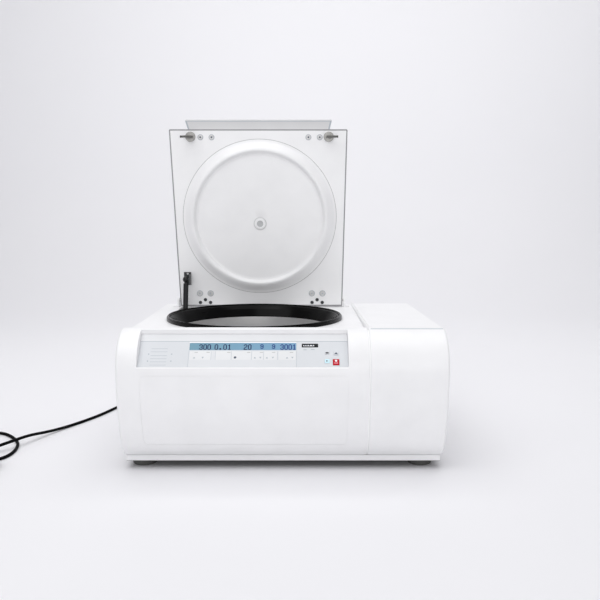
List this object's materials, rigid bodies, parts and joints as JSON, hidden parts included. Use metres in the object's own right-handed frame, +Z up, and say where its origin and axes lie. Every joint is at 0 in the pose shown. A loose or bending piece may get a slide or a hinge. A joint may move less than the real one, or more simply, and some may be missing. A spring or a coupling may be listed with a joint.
{
  "type": "microplate centrifuge",
  "caption": "Refrigerated benchtop centrifuge: opening lid on a gas strut, steel chamber with a swing-out rotor for microplates, control panel and a cooling unit alongside.",
  "frame": {"origin": "centre of the bounding box at the bench surface, measured without the mains cord", "axes": "+X to the viewer's right along the width, +Y from the front to the back, +Z up"},
  "size_m": [1.2468, 0.8758, 0.8728],
  "materials": {
    "white_plastic": "satin",
    "white_sheet": "satin",
    "grey_sheet": "satin",
    "dark_trim": "matte",
    "grey_handle": "satin",
    "rubber_black": "semi-gloss",
    "foot_rubber": "matte",
    "steel": "brushed",
    "bright_steel": "polished",
    "dark_steel": "satin",
    "foil": "satin",
    "lcd": "gloss",
    "red_key": "satin",
    "pale_key": "satin",
    "grey_key": "satin",
    "board": "satin",
    "foam": "matte",
    "copper": "satin",
    "alloy": "satin",
    "motor": "satin",
    "clear": "gloss",
    "black_plastic": "satin",
    "cord": "satin"
  },
  "bodies": {
    "housing": {"base_plate": "white_sheet", "rubber_feet": "foot_rubber", "main_front_cover": "white_plastic", "side_front_cover": "white_plastic", "main_top_deck": "white_plastic", "side_top_cover": "white_plastic", "left_side_panel": "white_sheet", "right_side_panel": "white_sheet", "rear_panel": "white_sheet", "partition_wall": "grey_sheet", "armour_ring": "grey_sheet", "chamber_insulation": "foam", "bowl": "steel", "lid_gasket": "rubber_black", "drive_motor": "motor", "motor_dampers": "rubber_black", "shaft_boot": "rubber_black", "compressor": "motor", "condenser": "alloy", "fan_shroud": "grey_sheet", "refrigerant_circuit": "copper", "membrane_panel": "foil", "lcd_window": "lcd", "control_board": "board", "hinge_brackets": "white_sheet", "lock_housings": "grey_sheet", "strut_foot_bracket": "grey_sheet", "cord_relief": "black_plastic", "switch_housing": "black_plastic", "mains_cord": "cord", "cord_coil": "cord", "cord_tie": "cord", "mains_plug": "black_plastic"},
    "lid": {"lid_shell": "white_plastic", "lid_liner": "white_sheet", "lid_edge_trim": "dark_trim", "lid_handle": "grey_handle", "viewport_ring": "white_plastic", "viewport_lens": "clear", "lock_hooks": "bright_steel", "lid_screws": "bright_steel", "hinge_bolts": "bright_steel", "hinge_cap_screws": "dark_steel", "hinge_shaft": "steel", "strut_top_bracket": "dark_steel"},
    "strut_cylinder": {"strut_cylinder": "black_plastic"},
    "strut_rod": {"strut_rod": "bright_steel"},
    "rotor": {"rotor_spindle": "steel", "rotor_yoke": "alloy", "rotor_knob": "black_plastic"},
    "carrier_left": {"carrier_left": "alloy"},
    "carrier_right": {"carrier_right": "alloy"},
    "condenser_fan": {"condenser_fan": "black_plastic"},
    "lock_bolt_left": {"lock_bolt_left": "steel"},
    "lock_bolt_right": {"lock_bolt_right": "steel"},
    "power_rocker": {"power_rocker": "black_plastic"},
    "stop_key": {"stop_key": "red_key"},
    "start_key": {"start_key": "pale_key"},
    "lid_key": {"lid_key": "grey_key"},
    "pulse_key": {"pulse_key": "grey_key"}
  },
  "joints": [
    {"name": "lid_hinge", "type": "hinge", "parent": "housing", "child": "lid", "pos_m": [-0.077, 0.24892, 0.3415], "axis": [1, 0, 0], "range_deg": [0, 85.67]},
    {"name": "strut_swivel", "type": "hinge", "parent": "lid", "child": "strut_cylinder", "pos_m": [-0.299, 0.21185, 0.40725], "axis": [1, 0, 0], "range_deg": [-84.17, 0]},
    {"name": "strut_stroke", "type": "slide", "parent": "strut_cylinder", "child": "strut_rod", "axis": [0, -0.2382, -0.9712], "range_m": [-0.10277, 0]},
    {"name": "rotor_spin", "type": "hinge", "parent": "housing", "child": "rotor", "pos_m": [-0.082, -0.0035, 0.205], "axis": [0, 0, 1], "continuous": true},
    {"name": "carrier_left_swing", "type": "hinge", "parent": "rotor", "child": "carrier_left", "pos_m": [-0.187, -0.0035, 0.205], "axis": [0, 1, 0], "range_deg": [0, 90]},
    {"name": "carrier_right_swing", "type": "hinge", "parent": "rotor", "child": "carrier_right", "pos_m": [0.023, -0.0035, 0.205], "axis": [0, -1, 0], "range_deg": [0, 90]},
    {"name": "fan_spin", "type": "hinge", "parent": "housing", "child": "condenser_fan", "pos_m": [0.29, -0.0435, 0.175], "axis": [1, 0, 0], "continuous": true},
    {"name": "lock_left", "type": "slide", "parent": "housing", "child": "lock_bolt_left", "axis": [1, 0, 0], "range_m": [0, 0.018]},
    {"name": "lock_right", "type": "slide", "parent": "housing", "child": "lock_bolt_right", "axis": [-1, 0, 0], "range_m": [0, 0.018]},
    {"name": "power_rocker", "type": "hinge", "parent": "housing", "child": "power_rocker", "pos_m": [-0.24, 0.3095, 0.075], "axis": [-1, 0, 0], "range_deg": [0, 14]},
    {"name": "stop_key_press", "type": "slide", "parent": "housing", "child": "stop_key", "axis": [0, 0.7553, -0.6553], "range_m": [0, 0.0005], "stiffness_N_per_m": 600},
    {"name": "start_key_press", "type": "slide", "parent": "housing", "child": "start_key", "axis": [0, 0.7553, -0.6553], "range_m": [0, 0.0005], "stiffness_N_per_m": 600},
    {"name": "lid_key_press", "type": "slide", "parent": "housing", "child": "lid_key", "axis": [0, 0.7553, -0.6553], "range_m": [0, 0.0005], "stiffness_N_per_m": 600},
    {"name": "pulse_key_press", "type": "slide", "parent": "housing", "child": "pulse_key", "axis": [0, 0.7553, -0.6553], "range_m": [0, 0.0005], "stiffness_N_per_m": 600}
  ],
  "couplings": [
    {"joint": "strut_swivel", "follows": "lid_hinge", "ratio": -0.97779},
    {"joint": "strut_stroke", "follows": "lid_hinge", "m_per_rad": -0.068398}
  ]
}
